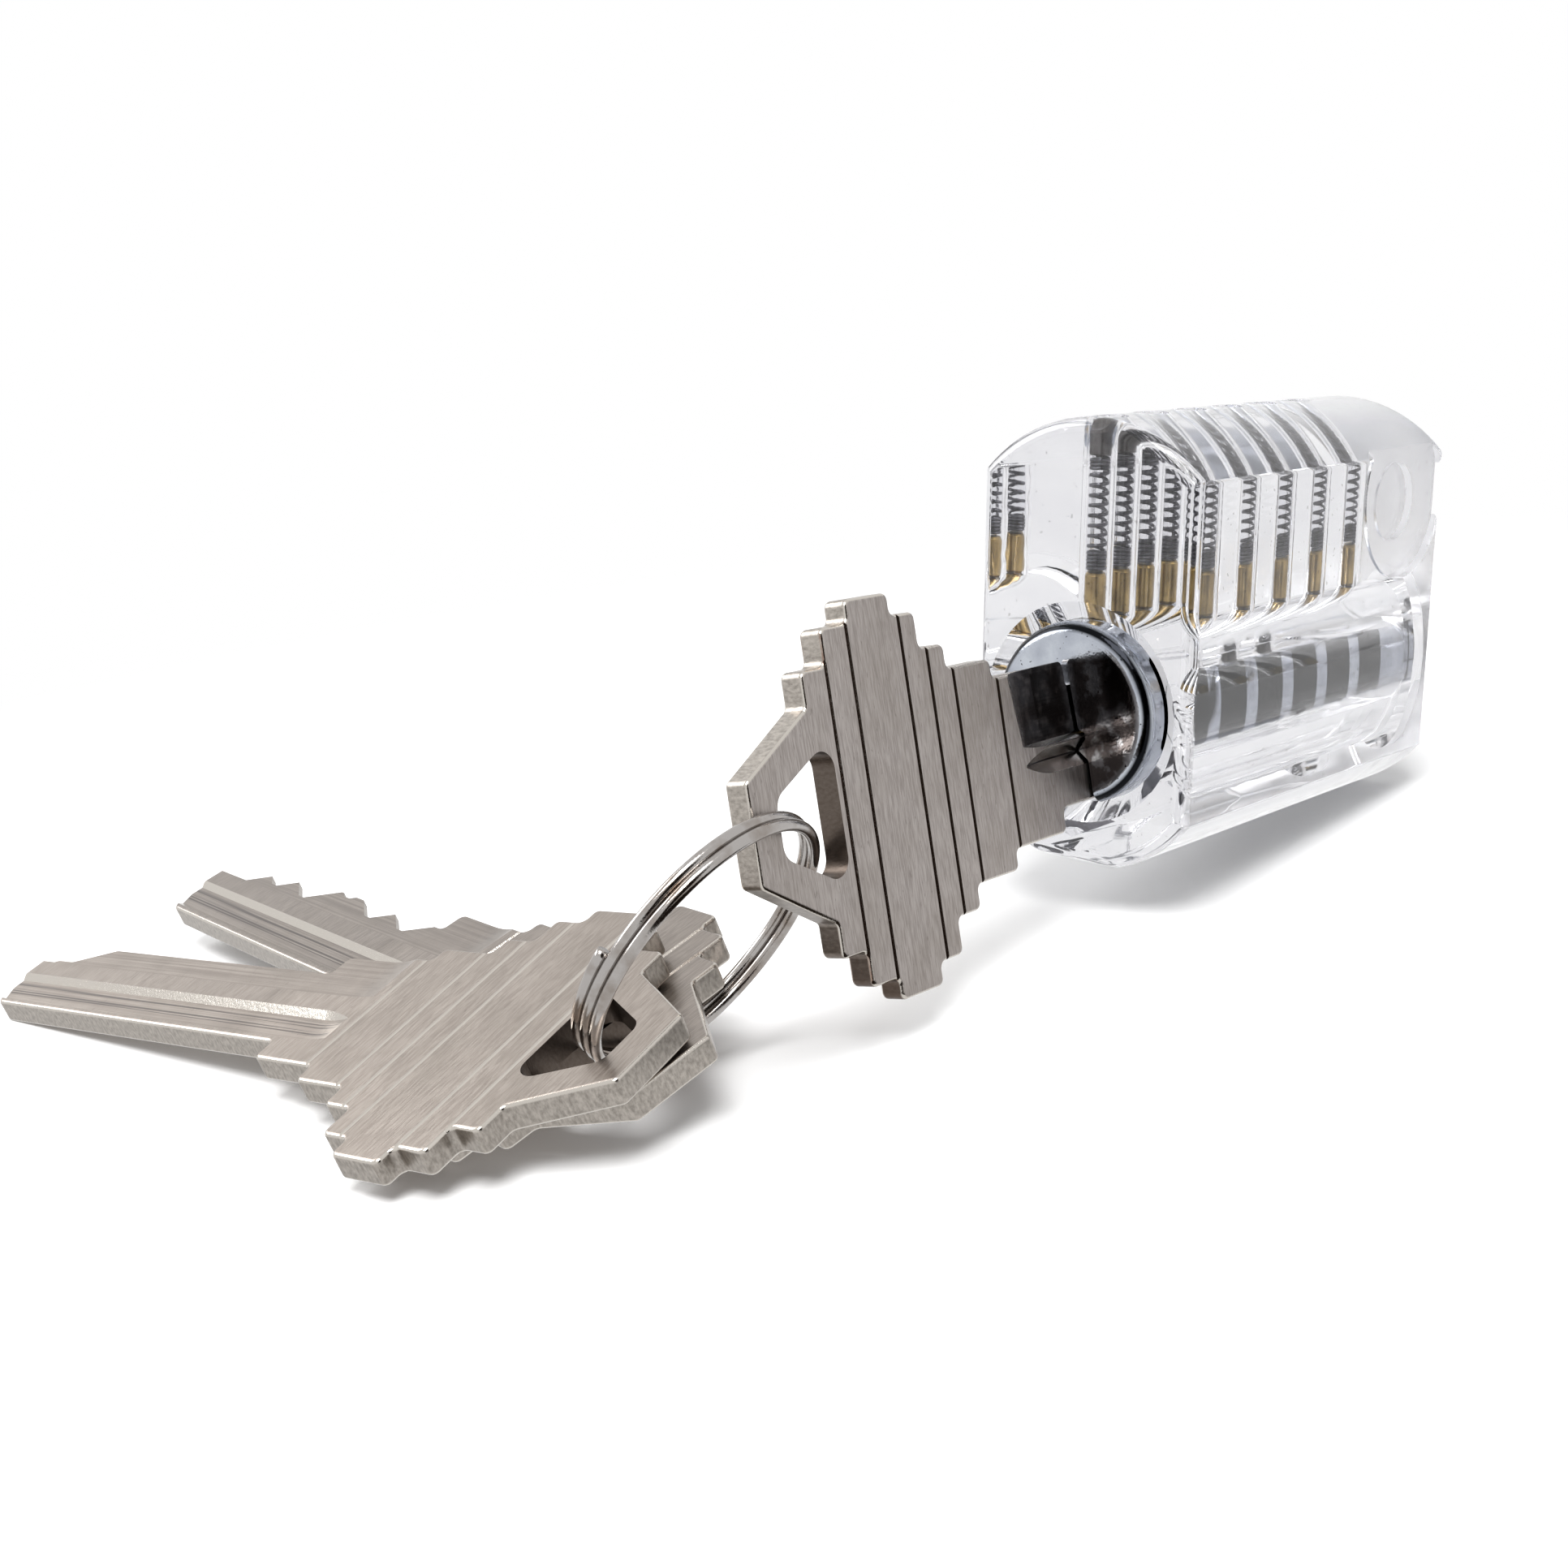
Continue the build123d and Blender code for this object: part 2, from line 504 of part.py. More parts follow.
for number, y in enumerate(CHAMBERS, start=1):
    foot = Vector(0, FRONT + y, SPRING_BOTTOM)
    with BuildPart() as spring:
        with BuildLine() as wire:
            low = foot + Vector(COIL_RADIUS, 0, 0)
            end_angle = math.radians(LAST_TURN + SPRING_LEAD)
            high = foot + Vector(
                COIL_RADIUS * math.cos(end_angle), COIL_RADIUS * math.sin(end_angle), SPRING_LENGTH
            )
            Line(low, low + UP * SPRING_WIRE)
            biarc(
                low + UP * SPRING_WIRE, UP,
                foot + helix_point(FIRST_TURN), helix_direction(FIRST_TURN),
            )
            for half in range(2 * SPRING_TURNS):
                here, there = FIRST_TURN + 180 * half, FIRST_TURN + 180 * (half + 1)
                biarc(
                    foot + helix_point(here), helix_direction(here),
                    foot + helix_point(there), helix_direction(there),
                )
            biarc(foot + helix_point(LAST_TURN), helix_direction(LAST_TURN), high - UP * SPRING_WIRE, UP)
            Line(high - UP * SPRING_WIRE, high)
        with BuildSketch(Plane(origin=low, x_dir=(1, 0, 0), z_dir=(0, 0, 1))):
            Circle(SPRING_WIRE / 2)
        sweep(path=wire.line)
    save(spring, f"spring_{number}")

# Least gap between turns of a spring, measured on points along its centre line
edges = wire.line.edges()
SAMPLES = 12             # points on each arc of the wire
points = [edge.position_at(k / SAMPLES) for edge in edges for k in range(SAMPLES)]
path_length = [0.0]
for a, b in zip(points, points[1:]):
    path_length.append(path_length[-1] + (b - a).length)
near = min(
    (a - b).length
    for i, a in enumerate(points)
    for j, b in enumerate(points[i + 1:], start=i + 1)
    if path_length[j] - path_length[i] > 4 * COIL_RADIUS
)
print("spring: least gap between turns", round(near - SPRING_WIRE, 3))
print("spring: smallest bend radius", round(min(e.radius for e in edges.filter_by(GeomType.CIRCLE)), 3))
section = math.pi * SPRING_WIRE ** 2 / 4
print("spring: volume over section times length",
      round(spring.part.volume / (section * sum(edge.length for edge in edges)), 4))

# Split ring of two turns of wire lying side by side
with BuildPart() as split_ring:
    hub = LOOSE_ORIGIN + Vector(*RING_CENTRE)
    ring_axis = Vector(*RING_AXIS).normalized()
    outward = ring_axis.cross(UP).normalized()
    with BuildSketch(Plane(origin=hub, x_dir=outward, z_dir=ring_axis.cross(outward))):
        turn_offset = (RING_WIRE - RING_OVERLAP) / 2
        with Locations((RING_RADIUS, turn_offset), (RING_RADIUS, -turn_offset)):
            Circle(RING_WIRE / 2)
    revolve(axis=Axis(hub, ring_axis))
save(split_ring, "split_ring")
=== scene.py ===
import json
import math

import bmesh
import bpy
from mathutils import Matrix, Vector


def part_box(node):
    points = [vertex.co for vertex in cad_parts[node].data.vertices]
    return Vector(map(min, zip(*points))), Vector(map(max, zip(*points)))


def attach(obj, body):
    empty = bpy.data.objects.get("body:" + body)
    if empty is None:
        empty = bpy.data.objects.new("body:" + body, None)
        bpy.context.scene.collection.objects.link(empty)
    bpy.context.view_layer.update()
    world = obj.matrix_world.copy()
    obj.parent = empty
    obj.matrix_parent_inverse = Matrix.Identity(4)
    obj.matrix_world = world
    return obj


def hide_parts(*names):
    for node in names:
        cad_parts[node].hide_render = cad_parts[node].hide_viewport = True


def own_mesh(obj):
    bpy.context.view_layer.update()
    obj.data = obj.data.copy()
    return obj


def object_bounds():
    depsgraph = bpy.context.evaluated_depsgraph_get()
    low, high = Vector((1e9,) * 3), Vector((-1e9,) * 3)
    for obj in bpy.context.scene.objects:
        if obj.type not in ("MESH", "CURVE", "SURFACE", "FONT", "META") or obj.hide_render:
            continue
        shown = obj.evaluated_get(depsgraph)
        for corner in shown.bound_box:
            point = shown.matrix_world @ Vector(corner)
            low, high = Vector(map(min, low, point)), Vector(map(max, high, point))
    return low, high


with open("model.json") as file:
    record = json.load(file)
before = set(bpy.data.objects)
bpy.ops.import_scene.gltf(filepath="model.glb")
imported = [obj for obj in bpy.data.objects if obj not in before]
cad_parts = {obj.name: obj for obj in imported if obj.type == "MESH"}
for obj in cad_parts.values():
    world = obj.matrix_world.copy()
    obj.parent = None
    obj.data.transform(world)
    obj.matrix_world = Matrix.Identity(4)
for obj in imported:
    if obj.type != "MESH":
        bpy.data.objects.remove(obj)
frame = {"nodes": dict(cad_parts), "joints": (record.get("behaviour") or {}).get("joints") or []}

cad_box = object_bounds()
MM = 0.001

# Places that the frame gives
AXIS = Vector(next(j for j in frame["joints"] if j["name"] == "plug_turn")["pos_m"])
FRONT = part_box("body")[0].y
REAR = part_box("body")[1].y
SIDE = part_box("body")[1].x
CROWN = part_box("body")[1].z
PINS = 6
PIN_PLACES = [sum(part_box(f"driver_pin_{k}"), Vector()) / 2 for k in range(1, PINS + 1)]
PIN_PITCH = (PIN_PLACES[-1].y - PIN_PLACES[0].y) / (PINS - 1)
DRIVER_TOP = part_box("driver_pin_1")[1].z
CAP_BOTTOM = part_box("chamber_cap_1")[0].z

# Block: where its surfaces were worked, in millimetres, and how rough that left them
BORE_RADIUS = 6.05
BORE_MOUTH = 0.9         # the widened mouth reaches this far out from the bore
CHAMBER_RADIUS = 1.2
ARCH_FROM = 3.65         # the arched top begins this far below the crown
RECESS_SPOT = (28.3, 12.6)  # behind the front face and above the plug axis
RECESS_RADIUS = 6.0
POLISHED = 0.015
BORED = 0.04
DRILLED = 0.06
ARCHED = 0.05
SAWN = 0.3
MILLED = 0.25

# Plug, in millimetres along the key and from its axis
PLUG_RADIUS = 6.0
PLUG_FACE = -1.0
PLUG_TAIL = 33.6
FACE_FLAT = 5.3          # flat of the face, inside its rounded edge

# Springs: wire, and turns that touch at the ends and stand open between
SPRING_WIRE = 0.24 * MM
SPRING_RADIUS = 0.97 * MM
SPRING_PLAY = 0.02 * MM
LOW_CLOSED_TURNS = 5
HIGH_CLOSED_TURNS = 3.25
OPEN_TURNS = 8
CLOSED_RISE = 1.03 * SPRING_WIRE

# Split ring: wire wound two turns, with its ends lapped
RING_AXIS = Vector((0.867, 0.105, -0.487)).normalized()
RING_RADIUS = 8.33 * MM
RING_WIRE = 0.7 * MM
RING_PITCH = 0.68 * MM
RING_START = math.radians(350)
RING_LAP = 0.17
RING_JOG = 0.12
WIRE_SIDES = 14
RING_SIDES = 24
SPRING_STEPS = 32
RING_STEPS = 120

# Keys: places of their frames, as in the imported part, and what is cut in them,
# in millimetres behind the block's front face and above the plug's axis
KEY_TURN = math.radians(12)
UNCUT_AT = Vector((-31.84, -38.83, -16.62)) * MM
UNCUT_BLADE = Vector((-0.9883, -0.0419, -0.1465))
UNCUT_SIDE = Vector((0.1217, 0.361, -0.9246))
CUT_AT = Vector((2.0, -1.06, 8.37)) * MM
CUT_SPREAD = math.radians(13.47)
HALF_KEY = 0.85
SCORES = (-9.2, -13.4, -15.6, -17.8, -22.5, -24.7)
SCORE_HALF = 0.085       # half width of the dirt in a scored line
SCORE_DEPTH = 0.14
NECK_TOP = 3.5
FLAT_START = -8.6        # the milled flats begin here on the neck
POCKET_LOW = -3.2        # lower edge of the pointed channel
BAND_MIDDLE = -3.75      # of the ploughed lines in the channel along the blade
BAND_HALF = 0.9
BOW_MIDDLE = -1.85       # height of the bow's centre line
HOLE_FAR = -30.9         # just past the hole's ends
HOLE_NEAR = -24.9
HOLE_REACH = (2.5, 5.6)  # half heights between its edge and the bow's, at those ends


def linear(code):
    """A colour written as sRGB hex, as the linear values that a shader takes."""
    parts = [int(code[i:i + 2], 16) / 255 for i in (1, 3, 5)]
    return tuple(c / 12.92 if c <= 0.04045 else ((c + 0.055) / 1.055) ** 2.4 for c in parts) + (1,)


def add(owner, kind, links=None, output=0, **settings):
    """Adds one node with its settings and links, and gives back one of its outputs."""
    node = owner.node_tree.nodes.new("ShaderNode" + kind)
    for name, value in settings.items():
        setattr(node, name, value)
    for socket, value in (links or {}).items():
        if isinstance(value, bpy.types.NodeSocket):
            owner.node_tree.links.new(value, node.inputs[socket])
        else:
            node.inputs[socket].default_value = value
    return node.outputs[output] if node.outputs else None


def new_material(name):
    """A material with an empty node tree."""
    material = bpy.data.materials.new(name)
    material.use_nodes = True
    material.node_tree.nodes.clear()
    return material


def millimetres(material, place=Matrix.Identity(4)):
    """Object coordinates in millimetres, read in a frame of the part."""
    links = {
        "Vector": add(material, "TexCoord", output="Object"),
        "Location": place.translation, "Rotation": place.to_euler(), "Scale": (MM, MM, MM),
    }
    return add(material, "Mapping", links, vector_type="TEXTURE")


def grain(material, place, stretch, detail=2.0, rough=0.5):
    """Noise with its own count of grains per millimetre along each axis."""
    spot = add(material, "Mapping", {"Vector": place, "Scale": stretch})
    return add(material, "TexNoise", {"Vector": spot, "Scale": 1.0, "Detail": detail, "Roughness": rough})


def two_tones(owner, noise, low, high, dark, light):
    """Colour that goes from one sRGB hex to another as a noise rises between two levels."""
    share = add(owner, "MapRange", {0: noise, 1: low, 2: high})
    return add(owner, "Mix", {0: share, 6: linear(dark), 7: linear(light)}, 2, data_type="RGBA")


def finish_node(name, material):
    """Gives a CAD node its material."""
    node = frame["nodes"][name]
    if not node.material_slots:
        node.data.materials.append(material)
    for slot in node.material_slots:
        slot.material = material


def key_frame(origin, blade, side):
    """Axes of a key: X through its thickness, Y along the blade, Z up the blade."""
    blade = blade.normalized()
    side = (side - blade * side.dot(blade)).normalized()
    up = side.cross(blade)
    place = Matrix((side, blade, up)).transposed().to_4x4()
    place.translation = origin
    return place


def wound_wire(name, radius, wire, sides, steps, runs):
    """Mesh of round wire wound about Z, in runs of some turns with their rise a turn."""
    form = bmesh.new()
    section = Matrix.Translation((radius, 0, 0)) @ Matrix.Rotation(math.pi / 2, 4, "X")
    bmesh.ops.create_circle(form, cap_ends=True, segments=sides, radius=wire / 2, matrix=section)
    last = form.faces[:]
    for turns, rise in runs:
        count = max(1, round(turns * steps))
        spun = bmesh.ops.spin(
            form, geom=last, cent=(0, 0, 0), axis=(0, 0, 1), dvec=(0, 0, rise * turns / count),
            angle=turns * math.tau, steps=count, use_merge=False, use_duplicate=False,
        )
        last = [item for item in spun["geom_last"] if isinstance(item, bmesh.types.BMFace)]
    bmesh.ops.recalc_face_normals(form, faces=form.faces[:])
    mesh = bpy.data.meshes.new(name)
    form.to_mesh(mesh)
    form.free()
    mesh.shade_smooth()
    return mesh


def place_piece(name, mesh, place, material):
    """An object at the origin from a copy of a mesh, set in its place."""
    copied = mesh.copy()
    copied.transform(place)
    copied.materials.append(material)
    piece = bpy.data.objects.new(name, copied)
    bpy.context.scene.collection.objects.link(piece)
    return piece


mouth = Vector((0, FRONT, AXIS.z))
upright_key = key_frame(mouth, Vector((0, 1, 0)), Vector((math.cos(KEY_TURN), 0, math.sin(KEY_TURN))))

# Clear cast acrylic: polished outside, duller where it was drilled, bored, milled or sawn,
# with drill marks 0.2 mm apart in the chambers and specks of dust in it
acrylic = new_material("cast_acrylic")
spot = millimetres(acrylic)
across = add(acrylic, "SeparateXYZ", {0: spot})
along, height = across.node.outputs[1], across.node.outputs[2]
middle = add(acrylic, "VectorMath", {0: spot, 1: (1, 0, 1)}, operation="MULTIPLY")
from_axis = add(acrylic, "VectorMath", {0: middle, 1: (0, 0, AXIS.z / MM)}, "Value", operation="DISTANCE")
bored = add(acrylic, "MapRange", {
    0: from_axis, 1: BORE_RADIUS + BORE_MOUTH + 0.5, 2: BORE_RADIUS + BORE_MOUTH,
})
low, high = ((PIN_PLACES[0].y + side * PIN_PITCH / 2) / MM for side in (-1, 1))
nearest = add(acrylic, "Math", {0: along, 1: high, 2: low}, operation="WRAP")
level = add(acrylic, "CombineXYZ", {0: across, 1: nearest})
pin_middle = (0, (low + high) / 2, 0)
from_pin = add(acrylic, "VectorMath", {0: level, 1: pin_middle}, "Value", operation="DISTANCE")
drilled = add(acrylic, "MapRange", {0: from_pin, 1: CHAMBER_RADIUS + 0.25, 2: CHAMBER_RADIUS + 0.1})
arch_start = CROWN / MM - ARCH_FROM
arched = add(acrylic, "MapRange", {0: height, 1: arch_start, 2: arch_start + 0.3})
sawn = add(acrylic, "MapRange", {0: along, 1: REAR / MM - 0.3, 2: REAR / MM - 0.1})
recess = (SIDE / MM, FRONT / MM + RECESS_SPOT[0], AXIS.z / MM + RECESS_SPOT[1])
from_recess = add(acrylic, "VectorMath", {0: spot, 1: recess}, "Value", operation="DISTANCE")
in_recess = add(acrylic, "MapRange", {0: from_recess, 1: RECESS_RADIUS + 0.2, 2: RECESS_RADIUS})
sunk = add(acrylic, "MapRange", {0: across, 1: SIDE / MM - 0.1, 2: SIDE / MM - 0.3})
milled = add(acrylic, "Math", {0: in_recess, 1: sunk}, operation="MULTIPLY")
dullness = POLISHED
zones = ((bored, BORED), (drilled, DRILLED), (arched, ARCHED), (sawn, SAWN), (milled, MILLED))
for zone, value in zones:
    share = add(acrylic, "Math", {0: zone, 1: value}, operation="MULTIPLY")
    dullness = add(acrylic, "Math", {0: dullness, 1: share}, operation="MAXIMUM")
speck_noise = grain(acrylic, spot, (2.4, 2.4, 2.4), 1)
specks = add(acrylic, "MapRange", {0: speck_noise, 1: 0.72, 2: 0.76})
haze = grain(acrylic, spot, (0.12, 0.12, 0.3), 3)
acrylic_tone = two_tones(acrylic, haze, 0.3, 0.7, "#E3E3E7", "#F1F1F3")
acrylic_tone = add(acrylic, "Mix", {0: specks, 6: acrylic_tone, 7: linear("#A8A6A6")}, 2, data_type="RGBA")
drill_marks = grain(acrylic, spot, (0.6, 0.6, 5), 3)
polish = grain(acrylic, spot, (0.35, 0.35, 0.35), 2)
waves = add(acrylic, "Mix", {0: drilled, 2: polish, 3: drill_marks})
acrylic_normal = add(acrylic, "Bump", {"Height": waves, "Distance": 0.03 * MM, "Strength": 0.35})
acrylic_surface = add(acrylic, "BsdfPrincipled", {
    "Base Color": acrylic_tone, "IOR": 1.49, "Transmission Weight": 1.0,
    "Roughness": dullness, "Normal": acrylic_normal,
})
add(acrylic, "OutputMaterial", {"Surface": acrylic_surface})
finish_node("body", acrylic)

# Bright nickel plate over brass: clouded and pitted, with dark brown beside the key that is
# # partly grease and partly a painted dark reflection, and painted shade inside the keyway and windows
plate = new_material("nickel_plate")
spot = millimetres(plate)
cloud = grain(plate, spot, (0.5, 0.5, 0.5), 4)
plate_tone = two_tones(plate, cloud, 0.35, 0.65, "#A7ACB6", "#C2C7CF")
pit_noise = grain(plate, spot, (4, 4, 4), 1)
pits = add(plate, "MapRange", {0: pit_noise, 1: 0.7, 2: 0.74})
plate_tone = add(plate, "Mix", {0: pits, 6: plate_tone, 7: linear("#3C3B40")}, 2, data_type="RGBA")
# Painted shade: dark inside the keyway and windows
plug_middle = add(plate, "VectorMath", {0: spot, 1: (1, 0, 1)}, operation="MULTIPLY")
from_axis = add(plate, "VectorMath", {0: plug_middle, 1: (0, 0, AXIS.z / MM)}, "Value", operation="DISTANCE")
painted_shade_inside = add(plate, "MapRange", {0: from_axis, 1: PLUG_RADIUS - 0.05, 2: PLUG_RADIUS - 0.2})
in_lock = add(plate, "SeparateXYZ", {0: millimetres(plate, upright_key)})
inward, upward = in_lock.node.outputs[1], in_lock.node.outputs[2]
behind_face = add(plate, "MapRange", {0: inward, 1: PLUG_FACE + 0.05, 2: PLUG_FACE + 0.15})
before_tail = add(plate, "MapRange", {0: inward, 1: PLUG_TAIL - 0.05, 2: PLUG_TAIL - 0.15})
for zone in (behind_face, before_tail):
    painted_shade_inside = add(plate, "Math", {0: painted_shade_inside, 1: zone}, operation="MULTIPLY")
# Dark brown beside and below the key on the face: partly grease, partly a painted dark reflection
beside = add(plate, "MapRange", {0: in_lock, 1: 0.3, 2: 0.9})
below = add(plate, "MapRange", {0: upward, 1: NECK_TOP + 0.2, 2: NECK_TOP - 0.2})
grease_and_reflection = add(plate, "MapRange", {0: from_axis, 1: FACE_FLAT, 2: FACE_FLAT - 0.4, 4: 0.85})
dark_patches = add(plate, "MapRange", {0: grain(plate, spot, (0.9, 0.9, 0.9), 4), 1: 0.38, 2: 0.48, 3: 0.45})
for zone in (beside, below, dark_patches):
    grease_and_reflection = add(plate, "Math", {0: grease_and_reflection, 1: zone}, operation="MULTIPLY")
plate_tone = add(plate, "Mix", {0: grease_and_reflection, 6: plate_tone, 7: linear("#3A2C26")}, 2, data_type="RGBA")
plate_tone = add(plate, "Mix", {0: painted_shade_inside, 6: plate_tone, 7: linear("#16171A")}, 2, data_type="RGBA")
plate_dull = add(plate, "MapRange", {0: cloud, 1: 0.3, 2: 0.7, 3: 0.09, 4: 0.17})
plate_normal = add(plate, "Bump", {"Height": pit_noise, "Distance": 0.03 * MM, "Strength": 0.25})
plate_surface = add(plate, "BsdfPrincipled", {
    "Base Color": plate_tone, "Metallic": 1.0, "Roughness": plate_dull, "Normal": plate_normal,
})
add(plate, "OutputMaterial", {"Surface": plate_surface})
finish_node("plug", plate)

# Turned brass of the pins, tarnished in patches. The turning marks are drawn at 9 to the
# millimetre, as fine as the render shows.
brass = new_material("turned_brass")
spot = millimetres(brass)
tarnish = grain(brass, spot, (1.2, 1.2, 0.6), 4)
brass_tone = two_tones(brass, tarnish, 0.35, 0.65, "#80693C", "#BFA266")
turned = grain(brass, spot, (0.3, 0.3, 9))
brass_normal = add(brass, "Bump", {"Height": turned, "Distance": 0.02 * MM, "Strength": 0.4})
brass_surface = add(brass, "BsdfPrincipled", {
    "Base Color": brass_tone, "Metallic": 1.0, "Roughness": 0.32, "Normal": brass_normal,
})
add(brass, "OutputMaterial", {"Surface": brass_surface})

# Drawn steel wire of the springs and the clip: dark grey with a soft gloss
wire = new_material("steel_wire")
spot = millimetres(wire)
drawn = grain(wire, spot, (1.5, 1.5, 1.5), 3)
wire_tone = two_tones(wire, drawn, 0.35, 0.65, "#434246", "#706F74")
wire_surface = add(wire, "BsdfPrincipled", {"Base Color": wire_tone, "Metallic": 1.0, "Roughness": 0.28})
add(wire, "OutputMaterial", {"Surface": wire_surface})

# Turned steel of the caps: oiled, brownish grey and dull
cap_steel = new_material("turned_steel")
spot = millimetres(cap_steel)
oil = grain(cap_steel, spot, (1.5, 1.5, 1.5), 3)
cap_tone = two_tones(cap_steel, oil, 0.35, 0.65, "#56524F", "#716D6B")
cap_surface = add(cap_steel, "BsdfPrincipled", {"Base Color": cap_tone, "Metallic": 1.0, "Roughness": 0.35})
add(cap_steel, "OutputMaterial", {"Surface": cap_surface})

# Nickel plated wire of the ring, scratched by the keys and browned in places
ring_plate = new_material("plated_wire")
spot = millimetres(ring_plate)
brown = grain(ring_plate, spot, (0.45, 0.45, 0.45), 4)
ring_tone = two_tones(ring_plate, brown, 0.45, 0.7, "#ADA9A6", "#857A71")
ring_scratches = grain(ring_plate, spot, (5, 5, 5), 3, 0.7)
ring_dull = add(ring_plate, "MapRange", {0: ring_scratches, 1: 0.35, 2: 0.7, 3: 0.1, 4: 0.2})
ring_normal = add(ring_plate, "Bump", {"Height": ring_scratches, "Distance": 0.02 * MM, "Strength": 0.3})
ring_surface = add(ring_plate, "BsdfPrincipled", {
    "Base Color": ring_tone, "Metallic": 1.0, "Roughness": ring_dull, "Normal": ring_normal,
})
add(ring_plate, "OutputMaterial", {"Surface": ring_surface})


def nickel_silver(name, place, light, dark, score_tone_grime_and_highlight, dirt_and_highlight_share, brown_and_painted_dark):
    """Nickel silver: brushed across the bow, milled along the blade, with scored lines.

    Light and dark are the tones of its brushed lines, and the score tone is that of
    the scored ones: dark grime in them on the key in the lock, and a painted highlight
    along them on the loose keys. The grime and highlight share is how far that tone
    takes them. The last argument is how much browner the lower edges get, and how far
    painted shade darkens the blade inside the lock, with a painted dark reflection,
    partly grease, on the milled flat by the neck. The brushing is drawn at 11 lines to
    the millimetre, coarser than the real one, so that it shows.
    """
    key = new_material(name)
    spot = millimetres(key, place)
    x = add(key, "SeparateXYZ", {0: spot})
    y, z = x.node.outputs[1], x.node.outputs[2]
    depth = add(key, "Math", {0: x}, operation="ABSOLUTE")
    normal = add(key, "TexCoord", output="Normal")
    across = add(key, "VectorMath", {0: normal, 1: place.col[0].to_3d()}, "Value", operation="DOT_PRODUCT")
    facing = add(key, "Math", {0: across}, operation="ABSOLUTE")
    on_face = add(key, "MapRange", {0: facing, 1: 0.85, 2: 0.97})
    on_wall = add(key, "MapRange", {0: facing, 1: 0.45, 2: 0.15})

    brushed = grain(key, spot, (0.5, 11, 0.9), 2)
    long_lines = grain(key, spot, (6, 0.06, 7), 3, 0.6)
    cut_in = add(key, "MapRange", {0: depth, 1: HALF_KEY - 0.06, 2: HALF_KEY - 0.14})
    lines = add(key, "Mix", {0: cut_in, 2: brushed, 3: long_lines})
    tone = two_tones(key, lines, 0.36, 0.64, dark, light)
    cloud = add(key, "MapRange", {0: grain(key, spot, (0.4, 0.3, 0.3), 4), 1: 0.4, 2: 0.7, 4: 0.3})
    tone = add(key, "Mix", {0: cloud, 6: tone, 7: linear("#80786F")}, 2, data_type="RGBA")
    nicks = add(key, "MapRange", {0: grain(key, spot, (1, 6, 1.6), 2), 1: 0.66, 2: 0.74, 4: 0.5 * dirt_and_highlight_share})
    tone = add(key, "Mix", {0: nicks, 6: tone, 7: linear("#5E5651")}, 2, data_type="RGBA")

    band = add(key, "Math", {0: z, 1: BAND_MIDDLE}, operation="SUBTRACT")
    band = add(key, "Math", {0: band}, operation="ABSOLUTE")
    band = add(key, "MapRange", {0: band, 1: BAND_HALF, 2: BAND_HALF - 0.3})
    band = add(key, "Math", {0: band, 1: cut_in}, operation="MULTIPLY")
    ploughed = add(key, "MapRange", {0: grain(key, spot, (0.3, 0.025, 6), 1), 1: 0.5, 2: 0.55, 4: 0.8})
    band = add(key, "Math", {0: band, 1: ploughed}, operation="MULTIPLY")
    tone = add(key, "Mix", {0: band, 6: tone, 7: linear("#55504E")}, 2, data_type="RGBA")
    # A painted dark reflection, partly grease, on the milled flat by the neck, and painted shade on the
    # blade inside the lock
    flat_reflection_and_grease = add(key, "MapRange", {0: y, 1: FLAT_START, 2: FLAT_START + 1.8, 4: brown_and_painted_dark})
    above_band = add(key, "MapRange", {0: z, 1: POCKET_LOW - 0.4, 2: POCKET_LOW})
    dark_patches = add(key, "MapRange", {0: grain(key, spot, (1, 1.2, 1.2), 4), 1: 0.36, 2: 0.5, 3: 0.7})
    for zone in (above_band, cut_in, dark_patches):
        flat_reflection_and_grease = add(key, "Math", {0: flat_reflection_and_grease, 1: zone}, operation="MULTIPLY")
    shade_reflection_and_grease = add(key, "MapRange", {0: y, 1: -1.5, 2: 0.5, 4: brown_and_painted_dark})
    shade_reflection_and_grease = add(key, "Math", {0: shade_reflection_and_grease, 1: flat_reflection_and_grease}, operation="MAXIMUM")
    tone = add(key, "Mix", {0: shade_reflection_and_grease, 6: tone, 7: linear("#262425")}, 2, data_type="RGBA")

    stamped = grain(key, spot, (2.5, 5, 5), 4, 0.6)
    wall = two_tones(key, stamped, 0.35, 0.65, "#918B84", "#B8B1A9")
    # Walls browner towards the bottom
    brown = add(key, "MapRange", {0: z, 1: -2.0, 2: -12.0, 4: brown_and_painted_dark})
    wall = add(key, "Mix", {0: brown, 6: wall, 7: linear("#4C3D34")}, 2, data_type="RGBA")
    # Grime and painted shade on the walls inside the bow's hole
    from_middle = add(key, "Math", {0: z, 1: BOW_MIDDLE}, operation="SUBTRACT")
    from_middle = add(key, "Math", {0: from_middle}, operation="ABSOLUTE")
    beside_hole = add(key, "MapRange", {
        0: y, 1: HOLE_FAR, 2: HOLE_NEAR, 3: HOLE_REACH[0], 4: HOLE_REACH[1],
    })
    in_hole = add(key, "Math", {0: beside_hole, 1: from_middle}, operation="GREATER_THAN")
    hole_middle, half_hole = (HOLE_FAR + HOLE_NEAR) / 2, (HOLE_NEAR - HOLE_FAR) / 2
    along_hole = add(key, "Math", {0: y, 1: hole_middle, 2: half_hole}, operation="COMPARE")
    hole_grime_and_shade = add(key, "Math", {0: in_hole, 1: along_hole}, operation="MULTIPLY")
    hole_grime_and_shade = add(key, "MapRange", {0: hole_grime_and_shade, 4: 0.85})
    wall = add(key, "Mix", {0: hole_grime_and_shade, 6: wall, 7: linear("#4A3E36")}, 2, data_type="RGBA")
    # Painted highlight on the rounded rims between face and wall
    rim_highlight = linear("#C6C0B8")
    wall = add(key, "Mix", {0: on_wall, 6: rim_highlight, 7: wall}, 2, data_type="RGBA")
    tone = add(key, "Mix", {0: on_face, 6: wall, 7: tone}, 2, data_type="RGBA")
